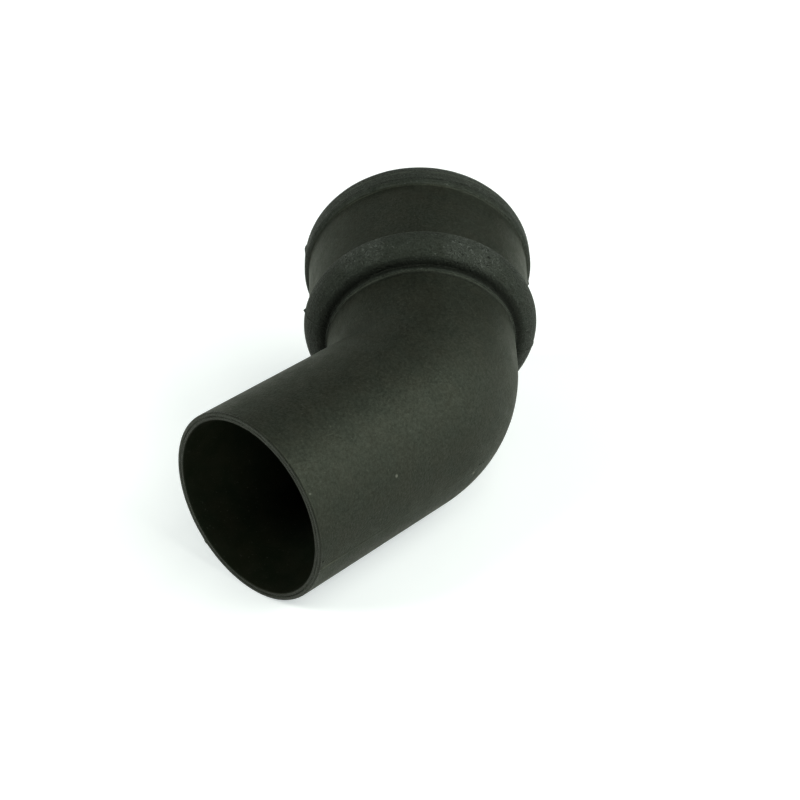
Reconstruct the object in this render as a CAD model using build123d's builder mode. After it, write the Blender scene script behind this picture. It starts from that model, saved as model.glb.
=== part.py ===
# Offset bend for a 68 mm round rainwater downpipe, moulded in one piece in the pattern of old cast pipe.
# A plain spigot turns through 45 degrees into a socket that carries two rounded bands.
# It lies on its side as it comes to rest: the spigot flat on the ground and the rear band touching it.
# The spigot points along -Y, the ground is z = 0, and the origin is under the middle of the whole bend.

from build123d import *
import os
from math import acos, atan2, cos, degrees, radians, sin, sqrt, tan

# Pipe and turn, in millimetres and degrees
turn = 45.0  # change of direction between the two ends
centreline_radius = 42.0  # of the curved centreline
turn_from = -90.0  # direction from the centre of that curve to its start
spigot_radius = 34.0  # outside of the spigot, a 68 mm pipe
spigot_reach = 86.3  # from the knee, where the two centrelines cross, to the spigot's end
waterway_radius = 31.2  # inside of the pipe, the same all the way round the turn
swollen_radius = 34.7  # the outside thickens this far by the end of the turn
rim_outer_rounding = 0.7  # at the spigot's end
rim_inner_rounding = 0.3

# Socket, measured along its own centreline from the knee
ledge_at = 32.7  # fine step where the pipe enters the foot of the socket
ledge_radius = 35.2
rear_band_crown_at = 43.3
rear_band_radius = 43.5
rear_band_front_round = 8.3  # the long round shoulder towards the turn
rear_band_back_round = 1.8  # the short one towards the mouth
barrel_rear_radius = 41.4  # outside of the wall between the bands, drawn out towards the mouth
barrel_front_radius = 42.0
mouth_band_foot_at = 74.4
mouth_band_radius = 43.8
mouth_band_back_round = 2.0
mouth_band_crown_at = 80.5
mouth_band_front_round = 8.0
mouth_at = 86.2
crease_fillet = 0.6  # hollow between the ledge and the rear band
barrel_fillet = 1.0  # foot of each band on the barrel
mouth_outer_rounding = 0.8

# Inside of the socket
bore_radius = 38.8
shoulder_foot_at = 37.2  # the waterway widens from here
shoulder_top_at = 41.9  # to the full bore here
shoulder_fillet = 2.0
lead_in_rounding = 1.4  # eased edge where the pipe above drops in

# Heights and reaches that follow from the sizes above
rear_round_centre = rear_band_radius - rear_band_front_round
rear_front_angle = degrees(acos((ledge_radius - rear_round_centre) / rear_band_front_round))
rear_back_angle = degrees(acos(1 - (rear_band_radius - barrel_rear_radius) / rear_band_back_round))
mouth_back_angle = degrees(acos(1 - (mouth_band_radius - barrel_front_radius) / mouth_band_back_round))
mouth_front_reach = mouth_at - mouth_band_crown_at
mouth_round_centre = mouth_band_radius - mouth_band_front_round
mouth_edge_radius = mouth_round_centre + sqrt(mouth_band_front_round**2 - mouth_front_reach**2)
tangent_length = centreline_radius * tan(radians(turn / 2))
spigot_length = spigot_reach - tangent_length

# Rest: the rear band's lowest point is level with the spigot's lowest line
spigot_drop = spigot_radius - rear_band_front_round
band_span = sqrt(rear_band_crown_at**2 + rear_round_centre**2)
socket_rise = sin(acos(spigot_drop / band_span) - atan2(rear_band_crown_at, rear_round_centre))
lean_sine = socket_rise / sin(radians(turn))
lean_cosine = sqrt(1 - lean_sine**2)
socket_x = -sin(radians(turn)) * lean_cosine
socket_y = cos(radians(turn))

# Knee: the whole bend is centred over the origin
mouth_side_x = mouth_round_centre * sqrt(1 - socket_x**2) + mouth_band_front_round
mouth_side_y = mouth_round_centre * sqrt(1 - socket_y**2) + mouth_band_front_round
knee_x = (mouth_side_x - mouth_band_crown_at * socket_x - spigot_radius) / 2
knee_y = (spigot_reach - mouth_side_y - mouth_band_crown_at * socket_y) / 2
knee = Vector(knee_x, knee_y, spigot_radius)

# Planes and axes
socket_direction = Vector(socket_x, socket_y, socket_rise)
bend_normal = Vector(lean_sine, 0, lean_cosine)
bend_plane = Plane(origin=knee, x_dir=(0, 1, 0), z_dir=bend_normal)
socket_plane = Plane(origin=knee, x_dir=socket_direction, z_dir=bend_normal)
socket_axis = Axis(knee, socket_direction)
turn_start = knee - Vector(0, tangent_length, 0)
turn_end = knee + socket_direction * tangent_length
start_plane = Plane(origin=turn_start, x_dir=bend_normal, z_dir=(0, 1, 0))
end_plane = Plane(origin=turn_end, x_dir=bend_normal, z_dir=socket_direction)

with BuildPart() as offset_bend:
    # Outside of the spigot: a straight length of pipe
    with BuildSketch(start_plane):
        Circle(spigot_radius)
    extrude(amount=-spigot_length)

    # Outside of the turn: the pipe swells a little on its way to the socket
    with BuildLine(bend_plane) as centreline:
        CenterArc((-tangent_length, centreline_radius), centreline_radius, turn_from, turn)
    with BuildSketch(start_plane):
        Circle(spigot_radius)
    with BuildSketch(end_plane):
        Circle(swollen_radius)
    sweep(path=centreline.wires()[0], multisection=True)

    # Outside of the socket: ledge, rear band, drawn barrel and mouth band in one turned profile
    with BuildSketch(socket_plane):
        with BuildLine():
            rear_front = JernArc(
                start=(rear_band_crown_at, rear_band_radius),
                tangent=(-1, 0),
                radius=rear_band_front_round,
                arc_size=rear_front_angle,
            )
            Polyline(
                rear_front @ 1,
                (ledge_at, ledge_radius),
                (ledge_at, swollen_radius),
                (tangent_length, swollen_radius),
                (tangent_length, 0),
                (mouth_at, 0),
                (mouth_at, mouth_edge_radius),
            )
            RadiusArc(
                (mouth_at, mouth_edge_radius),
                (mouth_band_crown_at, mouth_band_radius),
                -mouth_band_front_round,
            )
            mouth_back = JernArc(
                start=(mouth_band_foot_at, barrel_front_radius),
                tangent=Vector(1, 0).rotate(Axis.Z, mouth_back_angle),
                radius=mouth_band_back_round,
                arc_size=-mouth_back_angle,
            )
            Line(mouth_back @ 1, (mouth_band_crown_at, mouth_band_radius))
            rear_back = JernArc(
                start=(rear_band_crown_at, rear_band_radius),
                tangent=(1, 0),
                radius=rear_band_back_round,
                arc_size=-rear_back_angle,
            )
            Line(rear_back @ 1, mouth_back @ 0)
        make_face()
        corners = vertices()
        fillet(corners.sort_by_distance(rear_front @ 1)[0], crease_fillet)
        fillet(corners.sort_by_distance(rear_back @ 1)[0], barrel_fillet)
        fillet(corners.sort_by_distance(mouth_back @ 0)[0], barrel_fillet)
        fillet(corners.sort_by_distance((mouth_at, mouth_edge_radius))[0], mouth_outer_rounding)
    revolve(axis=socket_axis)

    # Waterway through the spigot and the turn
    with BuildSketch(start_plane):
        Circle(waterway_radius)
    extrude(amount=-spigot_length, mode=Mode.SUBTRACT)
    with BuildSketch(start_plane):
        Circle(waterway_radius)
    sweep(path=centreline.wires()[0], mode=Mode.SUBTRACT)

    # Inside of the socket: the waterway widens over a sloping shoulder into the bore
    with BuildSketch(socket_plane):
        with BuildLine():
            Polyline(
                (tangent_length, 0),
                (tangent_length, waterway_radius),
                (shoulder_foot_at, waterway_radius),
                (shoulder_top_at, bore_radius),
                (mouth_at, bore_radius),
                (mouth_at, 0),
                close=True,
            )
        make_face()
        shoulder = vertices().group_by(Axis.X)[1:3]
        fillet([shoulder[0][0], shoulder[1][0]], shoulder_fillet)
    revolve(axis=socket_axis, mode=Mode.SUBTRACT)

    # Rounded edges at the two open ends
    spigot_rim = faces().sort_by(Axis.Y)[0].edges().sort_by(SortBy.LENGTH)
    fillet(spigot_rim[-1], rim_outer_rounding)
    fillet(spigot_rim[0], rim_inner_rounding)
    mouth_rim = faces().filter_by(GeomType.PLANE).sort_by(Axis.Y)[-1].edges().sort_by(SortBy.LENGTH)
    fillet(mouth_rim[0], lead_in_rounding)

os.makedirs("parts", exist_ok=True)
offset_bend.part.label = "offset_bend"
export_step(offset_bend.part, "parts/offset_bend.step")
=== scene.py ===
"""Dresses the downpipe offset bend and sets up its studio picture.

The bend is one moulding, so it is one piece. Its mesh is laid ring by ring along the bent centreline: out
along the outside from the spigot's end to the mouth, and back along the inside. It has the solid's own
sizes, in millimetres, and carries what the solid leaves out: the flash of the mould's parting plane, its
nibs and the uneven skin of the bands.
"""

import logging
from collections.abc import Callable, Iterable
from dataclasses import dataclass, field
from enum import Enum
from math import acos, atan2, ceil, cos, degrees, radians, sin, sqrt, tan
from typing import Any

import bpy
import numpy as np
from mathutils import Matrix, Vector, noise


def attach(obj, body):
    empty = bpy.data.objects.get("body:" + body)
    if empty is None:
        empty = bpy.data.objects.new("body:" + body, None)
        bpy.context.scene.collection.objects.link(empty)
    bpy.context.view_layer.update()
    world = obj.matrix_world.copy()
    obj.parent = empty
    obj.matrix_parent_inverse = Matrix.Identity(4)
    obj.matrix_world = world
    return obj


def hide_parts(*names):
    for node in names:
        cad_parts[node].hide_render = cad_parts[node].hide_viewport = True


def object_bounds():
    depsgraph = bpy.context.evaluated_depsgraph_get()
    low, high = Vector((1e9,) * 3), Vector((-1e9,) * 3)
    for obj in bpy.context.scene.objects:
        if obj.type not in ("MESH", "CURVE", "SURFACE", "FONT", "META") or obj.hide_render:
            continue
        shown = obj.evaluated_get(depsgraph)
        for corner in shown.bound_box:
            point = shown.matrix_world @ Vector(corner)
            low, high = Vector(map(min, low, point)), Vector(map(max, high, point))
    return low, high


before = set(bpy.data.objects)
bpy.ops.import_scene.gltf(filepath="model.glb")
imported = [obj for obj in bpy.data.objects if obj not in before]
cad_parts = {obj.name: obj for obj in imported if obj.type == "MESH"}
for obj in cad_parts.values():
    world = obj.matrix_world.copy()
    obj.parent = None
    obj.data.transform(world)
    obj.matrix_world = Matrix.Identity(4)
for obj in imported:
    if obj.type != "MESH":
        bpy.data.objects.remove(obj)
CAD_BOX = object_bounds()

log = logging.getLogger("bend")

MM = 0.001
TINY = 1e-6
CAMERA_RAY = "Is Camera Ray"

Point = tuple[float, float]
Triple = tuple[float, float, float]
Colour = Triple
Socket = bpy.types.NodeSocket
Feed = Socket | float | Iterable[float]


class Area(Enum):
    """Areas of the moulding that differ in finish, by material slot."""

    PIPE = 0
    BAND = 1
    RIM = 2
    WATERWAY = 3


class Kind(Enum):
    """Kinds of input and output that a node group has."""

    NUMBER = "NodeSocketFloat"
    VECTOR = "NodeSocketVector"


@dataclass(frozen=True)
class Station:
    """A place on the centreline, with the three directions there.

    Attributes:
        centre: The point on the line, in millimetres.
        along: The line's direction, towards the mouth.
        outer: The direction away from the centre of the turn.
        upper: The direction square to the plane of the bend.
    """

    centre: Vector
    along: Vector
    outer: Vector
    upper: Vector


@dataclass(frozen=True)
class Centreline:
    """Bent line through the middle of the pipe as it lies at rest, in millimetres.

    A place on it is its distance from the start of the turn, negative on the spigot. A reach is measured
    from the knee, where the two straight runs would cross, along the socket.

    Attributes:
        turn: Change of direction between the two ends, in degrees.
        bend_radius: Radius of the curved part.
        spigot_radius: Outside of the spigot.
        spigot_reach: Distance from the knee to the spigot's end.
        rear_crown_at: Reach of the rear band's highest ring.
        rear_crown_radius: Radius of that ring.
        rear_round: Radius of the rear band's long rounding.
        mouth_crown_at: Reach of the mouth band's front-most full ring.
        mouth_crown_radius: Radius of that ring.
        mouth_round: Radius of the mouth band's rounding to its end face.
    """

    turn: float = 45.0
    bend_radius: float = 42.0
    spigot_radius: float = 34.0
    spigot_reach: float = 86.3
    rear_crown_at: float = 43.3
    rear_crown_radius: float = 43.5
    rear_round: float = 8.3
    mouth_crown_at: float = 80.5
    mouth_crown_radius: float = 43.8
    mouth_round: float = 8.0

    @property
    def tangent(self) -> float:
        """Length from the knee to either end of the turn."""
        return self.bend_radius * tan(radians(self.turn / 2))

    @property
    def arc(self) -> float:
        """Length of the centreline's curved part."""
        return self.bend_radius * radians(self.turn)

    @property
    def spigot_end(self) -> float:
        """Place of the spigot's end."""
        return self.tangent - self.spigot_reach

    def place(self, reach: float) -> float:
        """Turns a reach from the knee along the socket into a place on the centreline."""
        return reach - self.tangent + self.arc

    @property
    def socket_rise(self) -> float:
        """Upward part of the socket's direction, with the spigot and the rear band both on the ground.

        Returns:
            The sine of the socket's angle to the ground.
        """
        drop = self.spigot_radius - self.rear_round
        centre = self.rear_crown_radius - self.rear_round
        span = sqrt(self.rear_crown_at**2 + centre**2)
        return sin(acos(drop / span) - atan2(self.rear_crown_at, centre))

    @property
    def upper(self) -> Vector:
        """Direction square to the plane of the bend."""
        lean = self.socket_rise / sin(radians(self.turn))
        return Vector((lean, 0.0, sqrt(1 - lean**2)))

    def heading(self, angle: float) -> tuple[Vector, Vector]:
        """Finds the directions part of the way round the turn.

        Args:
            angle: How far the line has turned from the spigot's direction, in radians.

        Returns:
            The direction along the line and the one away from the centre of the turn.
        """
        along = Vector((0.0, 1.0, 0.0))
        outer = along.cross(self.upper)
        return along * cos(angle) - outer * sin(angle), outer * cos(angle) + along * sin(angle)

    @property
    def socket_direction(self) -> Vector:
        """Direction of the socket, out of its mouth."""
        return self.heading(radians(self.turn))[0]

    @property
    def knee(self) -> Vector:
        """Where the two straight runs would cross, with the whole bend centred over the origin.

        Returns:
            The knee's point.
        """
        way = self.socket_direction
        centre = self.mouth_crown_radius - self.mouth_round
        side_x = centre * sqrt(1 - way.x**2) + self.mouth_round
        side_y = centre * sqrt(1 - way.y**2) + self.mouth_round
        x = (side_x - self.mouth_crown_at * way.x - self.spigot_radius) / 2
        y = (self.spigot_reach - side_y - self.mouth_crown_at * way.y) / 2
        return Vector((x, y, self.spigot_radius))

    def station(self, place: float) -> Station:
        """Finds the centre and directions at a place.

        Args:
            place: Distance from the start of the turn.

        Returns:
            The station there.
        """
        angle = min(max(place / self.bend_radius, 0.0), radians(self.turn))
        along, outer = self.heading(angle)
        start_along, start_outer = self.heading(0.0)
        centre = self.knee - start_along * self.tangent + (outer - start_outer) * self.bend_radius
        straight = min(place, 0.0) + max(place - self.arc, 0.0)
        return Station(centre + along * straight, along, outer, self.upper)


@dataclass(frozen=True)
class Run:
    """A stretch of the profile between two corners.

    Attributes:
        points: Its places and radii, corner to corner.
        area: The area of the moulding that it belongs to.
        ease: How far the rounding of its last corner reaches along it.
    """

    points: np.ndarray
    area: Area
    ease: float = 0.0


@dataclass(frozen=True)
class Outline:
    """A closed profile made of runs, with its corners eased.

    Attributes:
        runs: Its runs in order, each from the corner where the last one ends.
        ease_steps: How many parts each eased corner is divided into.
    """

    runs: tuple[Run, ...]
    ease_steps: int = 6

    @staticmethod
    def line(start: Point, end: Point, step: float) -> np.ndarray:
        """Draws a straight run.

        Args:
            start: Place and radius of its start.
            end: Place and radius of its end.
            step: The longest gap between its points.

        Returns:
            Its points.
        """
        length = sqrt((end[0] - start[0]) ** 2 + (end[1] - start[1]) ** 2)
        return np.linspace(start, end, max(2, ceil(length / step) + 1))

    @staticmethod
    def arc(centre: Point, radius: float, angles: Point, steps: int) -> np.ndarray:
        """Draws part of a circle.

        Args:
            centre: Place and radius of its centre.
            radius: Its radius.
            angles: Its first and last angle in degrees, 0 straight outwards and 90 towards the mouth.
            steps: How many parts it is divided into.

        Returns:
            Its points.
        """
        swing = np.radians(np.linspace(angles[0], angles[1], steps + 1))
        return np.column_stack((centre[0] + radius * np.sin(swing), centre[1] + radius * np.cos(swing)))

    @staticmethod
    def cut_back(points: np.ndarray, length: float) -> np.ndarray:
        """Cuts a length off the end of a run.

        Args:
            points: The run's points.
            length: What to cut off, shorter than the run.

        Returns:
            The points that are left.
        """
        if length <= 0:
            return points
        gaps = np.hypot(*np.diff(points, axis=0).T)
        travelled = np.concatenate(([0.0], np.cumsum(gaps)))
        end = travelled[-1] - length
        last = [np.interp(end, travelled, points[:, axis]) for axis in (0, 1)]
        return np.vstack((points[travelled < end - TINY], last))

    def eased(self, corner: np.ndarray, before: np.ndarray, after: np.ndarray) -> np.ndarray:
        """Rounds a corner between two cut runs.

        Args:
            corner: The sharp corner.
            before: The last point left before it.
            after: The first point left after it.

        Returns:
            The points between those two, without them.
        """
        part = np.linspace(0, 1, self.ease_steps + 1)[1:-1, None]
        return before * (1 - part) ** 2 + corner * 2 * part * (1 - part) + after * part**2

    def points(self) -> tuple[np.ndarray, list[Area]]:
        """Lays out the whole profile.

        Returns:
            Its points in order and, for each, the area that starts there.
        """
        laid: list[np.ndarray] = []
        areas: list[Area] = []
        followers = self.runs[1:] + self.runs[:1]
        for run, before, after in zip(self.runs, self.runs[-1:] + self.runs, followers):
            kept = self.cut_back(run.points, run.ease)
            kept = self.cut_back(kept[::-1], before.ease)[::-1]
            following = self.cut_back(after.points[::-1], run.ease)[::-1]
            if run.ease > 0:
                kept = np.vstack((kept, self.eased(run.points[-1], kept[-1], following[0])))
            else:
                kept = kept[:-1]
            laid.append(kept)
            areas += [run.area] * len(kept)
        return np.vstack(laid), areas


@dataclass(frozen=True)
class Profile:
    """Section of the moulding's wall, in millimetres. Reaches are from the knee along the socket.

    Attributes:
        line: The centreline that it follows.
        waterway_radius: Inside of the pipe, the same all the way round the turn.
        swollen_radius: Outside of the pipe at the end of the turn.
        rim_outer_ease: How far the rim's outer edge is eased.
        rim_inner_ease: How far its inner edge is eased.
        ledge_at: Reach of the fine step where the pipe enters the socket's foot.
        ledge_radius: Outside of that step.
        ledge_ease: How far its edge is eased.
        crease_ease: How far the hollow between the ledge and the rear band is eased.
        rear_back_round: Radius of the rear band's short rounding.
        barrel_rear_radius: Outside of the wall between the bands, behind.
        barrel_front_radius: The same in front.
        barrel_ease: How far each band's foot on the barrel is eased.
        mouth_foot_at: Reach of the mouth band's foot.
        mouth_back_round: Radius of the mouth band's rounding behind.
        mouth_at: Reach of the mouth's end face.
        mouth_ease: How far the end face's outer edge is eased.
        bore_radius: Inside of the socket.
        shoulder_foot_at: Reach where the waterway starts to widen.
        shoulder_top_at: Reach where it has the full bore.
        shoulder_ease: How far each corner of that shoulder is eased.
        lead_in: How far the mouth's inner edge is eased.
        edge_step: The longest gap between rings on the rim's face.
        plain_step: The same on the spigot and the waterway's neck.
        turn_step: The same round the outside of the turn.
        neck_step: The same between the turn and the ledge.
        ledge_step: The same on the ledge.
        barrel_step: The same on the barrel.
        crown_step: The same on the mouth band and its end face.
        shoulder_step: The same on the shoulder inside.
        inner_turn_step: The same round the inside of the turn.
        bore_step: The same in the socket's bore and the spigot.
        long_steps: Parts of the rear band's long rounding.
        short_steps: Parts of each short rounding.
        mouth_steps: Parts of the mouth band's rounding to its end face.
    """

    line: Centreline
    waterway_radius: float = 31.2
    swollen_radius: float = 34.7
    rim_outer_ease: float = 0.75
    rim_inner_ease: float = 0.3
    ledge_at: float = 32.7
    ledge_radius: float = 35.2
    ledge_ease: float = 0.15
    crease_ease: float = 0.6
    rear_back_round: float = 1.8
    barrel_rear_radius: float = 41.4
    barrel_front_radius: float = 42.0
    barrel_ease: float = 0.5
    mouth_foot_at: float = 74.4
    mouth_back_round: float = 2.0
    mouth_at: float = 86.2
    mouth_ease: float = 0.8
    bore_radius: float = 38.8
    shoulder_foot_at: float = 37.2
    shoulder_top_at: float = 41.9
    shoulder_ease: float = 1.2
    lead_in: float = 1.4
    edge_step: float = 0.5
    plain_step: float = 2.2
    turn_step: float = 1.1
    neck_step: float = 1.5
    ledge_step: float = 0.35
    barrel_step: float = 1.3
    crown_step: float = 0.6
    shoulder_step: float = 1.0
    inner_turn_step: float = 1.6
    bore_step: float = 3.0
    long_steps: int = 22
    short_steps: int = 9
    mouth_steps: int = 10

    @property
    def rear_back(self) -> float:
        """Angle that the rear band's short rounding turns through, in degrees."""
        drop = self.line.rear_crown_radius - self.barrel_rear_radius
        return degrees(acos(1 - drop / self.rear_back_round))

    def rim(self) -> list[Run]:
        """Draws the outer half of the spigot's end face.

        Returns:
            Its runs.
        """
        line = self.line
        middle = (self.waterway_radius + line.spigot_radius) / 2
        end = line.spigot_end
        face = Outline.line((end, middle), (end, line.spigot_radius), self.edge_step)
        return [Run(face, Area.RIM, self.rim_outer_ease)]

    def pipe(self) -> list[Run]:
        """Draws the outside of the spigot and the turn, as far as the ledge.

        Returns:
            Its runs.
        """
        line = self.line
        ledge = line.place(self.ledge_at)
        start, swollen = (0.0, line.spigot_radius), (line.arc, self.swollen_radius)
        spigot = Outline.line((line.spigot_end, line.spigot_radius), start, self.plain_step)
        turn = Outline.line(start, swollen, self.turn_step)
        neck = Outline.line(swollen, (ledge, self.swollen_radius), self.neck_step)
        return [Run(np.vstack((spigot, turn[1:], neck[1:])), Area.PIPE)]

    def rear_band(self) -> list[Run]:
        """Draws the ledge and the rear band.

        Returns:
            Its runs.
        """
        line = self.line
        ledge = line.place(self.ledge_at)
        crown = line.place(line.rear_crown_at)
        centre = line.rear_crown_radius - line.rear_round
        front = degrees(acos((self.ledge_radius - centre) / line.rear_round))
        foot = crown - line.rear_round * sin(radians(front))
        riser = Outline.line((ledge, self.swollen_radius), (ledge, self.ledge_radius), self.ledge_step)
        land = Outline.line((ledge, self.ledge_radius), (foot, self.ledge_radius), self.ledge_step)
        long_round = Outline.arc((crown, centre), line.rear_round, (-front, 0.0), self.long_steps)
        centre = line.rear_crown_radius - self.rear_back_round
        swing = (0.0, self.rear_back)
        short_round = Outline.arc((crown, centre), self.rear_back_round, swing, self.short_steps)
        return [
            Run(riser, Area.BAND, self.ledge_ease),
            Run(land, Area.BAND, self.crease_ease),
            Run(np.vstack((long_round, short_round[1:])), Area.BAND, self.barrel_ease),
        ]

    def barrel(self) -> list[Run]:
        """Draws the outside of the socket between its bands.

        Returns:
            Its runs.
        """
        line = self.line
        start = line.place(line.rear_crown_at) + self.rear_back_round * sin(radians(self.rear_back))
        foot = (line.place(self.mouth_foot_at), self.barrel_front_radius)
        wall = Outline.line((start, self.barrel_rear_radius), foot, self.barrel_step)
        return [Run(wall, Area.PIPE, self.barrel_ease)]

    def mouth_band(self) -> list[Run]:
        """Draws the mouth band as far as the end face.

        Returns:
            Its runs.
        """
        line = self.line
        foot = line.place(self.mouth_foot_at)
        crown = line.place(line.mouth_crown_at)
        mouth = line.place(self.mouth_at)
        rise = line.mouth_crown_radius - self.barrel_front_radius
        back = degrees(acos(1 - rise / self.mouth_back_round))
        shoulder_at = foot + self.mouth_back_round * sin(radians(back))
        radius = line.mouth_crown_radius
        centre = radius - self.mouth_back_round
        shoulder = Outline.arc((shoulder_at, centre), self.mouth_back_round, (-back, 0.0), self.short_steps)
        top = Outline.line((shoulder_at, radius), (crown, radius), self.crown_step)
        centre = radius - line.mouth_round
        front = degrees(atan2(mouth - crown, sqrt(line.mouth_round**2 - (mouth - crown) ** 2)))
        round_over = Outline.arc((crown, centre), line.mouth_round, (0.0, front), self.mouth_steps)
        return [Run(np.vstack((shoulder, top[1:], round_over[1:])), Area.BAND, self.mouth_ease)]

    def inside(self) -> list[Run]:
        """Draws the mouth's end face, the bore and the waterway, back to the rim's middle.

        Returns:
            Its runs.
        """
        line = self.line
        mouth = line.place(self.mouth_at)
        depth = self.mouth_at - line.mouth_crown_at
        edge = line.mouth_crown_radius - line.mouth_round + sqrt(line.mouth_round**2 - depth**2)
        top = line.place(self.shoulder_top_at)
        foot = line.place(self.shoulder_foot_at)
        end, bore, waterway = line.spigot_end, self.bore_radius, self.waterway_radius
        middle = (waterway + line.spigot_radius) / 2
        face = Outline.line((mouth, edge), (mouth, bore), self.crown_step)
        wall = Outline.line((mouth, bore), (top, bore), self.bore_step)
        shoulder = Outline.line((top, bore), (foot, waterway), self.shoulder_step)
        neck = Outline.line((foot, waterway), (line.arc, waterway), self.plain_step)
        turn = Outline.line((line.arc, waterway), (0.0, waterway), self.inner_turn_step)
        spigot = Outline.line((0.0, waterway), (end, waterway), self.bore_step)
        rim = Outline.line((end, waterway), (end, middle), self.edge_step)
        return [
            Run(face, Area.BAND, self.lead_in),
            Run(wall, Area.WATERWAY, self.shoulder_ease),
            Run(shoulder, Area.WATERWAY, self.shoulder_ease),
            Run(np.vstack((neck, turn[1:], spigot[1:])), Area.WATERWAY, self.rim_inner_ease),
            Run(rim, Area.RIM),
        ]

    def outline(self) -> Outline:
        """Joins the whole section."""
        outside = self.rim() + self.pipe() + self.rear_band() + self.barrel() + self.mouth_band()
        return Outline((*outside, *self.inside()))


@dataclass(frozen=True)
class Flash:
    """Fine raised line where the mould's halves met, on both sides of the bend, in millimetres.

    Attributes:
        half_width: Half its width at its foot.
        pipe_height: Its height on the pipe near the spigot's end.
        band_height: Its height on the bands.
        fade_from: Place on the pipe from which it wears down.
        fade_to: Place from which it is faint.
        faint: Share of its height that is left there.
    """

    half_width: float = 0.34
    pipe_height: float = 0.22
    band_height: float = 0.22
    fade_from: float = -60.0
    fade_to: float = -35.0
    faint: float = 0.15

    def height(self, place: float, area: Area) -> float:
        """Gives the line's height at a place.

        Args:
            place: Distance from the start of the turn.
            area: The area of the moulding there.

        Returns:
            The height above the surface.
        """
        if area is Area.BAND:
            return self.band_height
        if area is not Area.PIPE:
            return 0.0
        wear_and_highlight = min(max((place - self.fade_from) / (self.fade_to - self.fade_from), 0.0), 1.0)
        return self.pipe_height * (1 - (1 - self.faint) * wear_and_highlight)


@dataclass(frozen=True)
class Nib:
    """A small raised tag of flash, in millimetres.

    Attributes:
        place: Distance of its middle from the start of the turn.
        angle: Its angle round the pipe in degrees, 0 on the outer side and 90 on the upper side.
        height: How far it stands out.
        along: Its half length along the pipe.
        around: Its half width round the pipe.
    """

    place: float
    angle: float
    height: float
    along: float
    around: float


@dataclass(frozen=True)
class CastSkin:
    """Slow unevenness of the bands, which copy rough iron castings, in millimetres.

    Attributes:
        depth: How far it reaches below the nominal surface.
        broad: Size of its broad hollows.
        narrow: Size of its narrow ones.
        narrow_share: How much of it the narrow ones make.
        apart: How far apart the two are drawn, so that they differ.
    """

    depth: float = 0.08
    broad: float = 7.0
    narrow: float = 2.2
    narrow_share: float = 0.45
    apart: Triple = (31.0, 7.0, 19.0)

    def offset(self, point: Vector) -> float:
        """Finds where the skin lies at a point.

        Args:
            point: The point on the nominal surface.

        Returns:
            The height above that surface, which is never over 0.
        """
        slow = noise.noise(point / self.broad)
        quick = noise.noise(point / self.narrow + Vector(self.apart))
        uneven = slow * (1 - self.narrow_share) + quick * self.narrow_share
        return -self.depth * (0.5 + uneven / 2)


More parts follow.
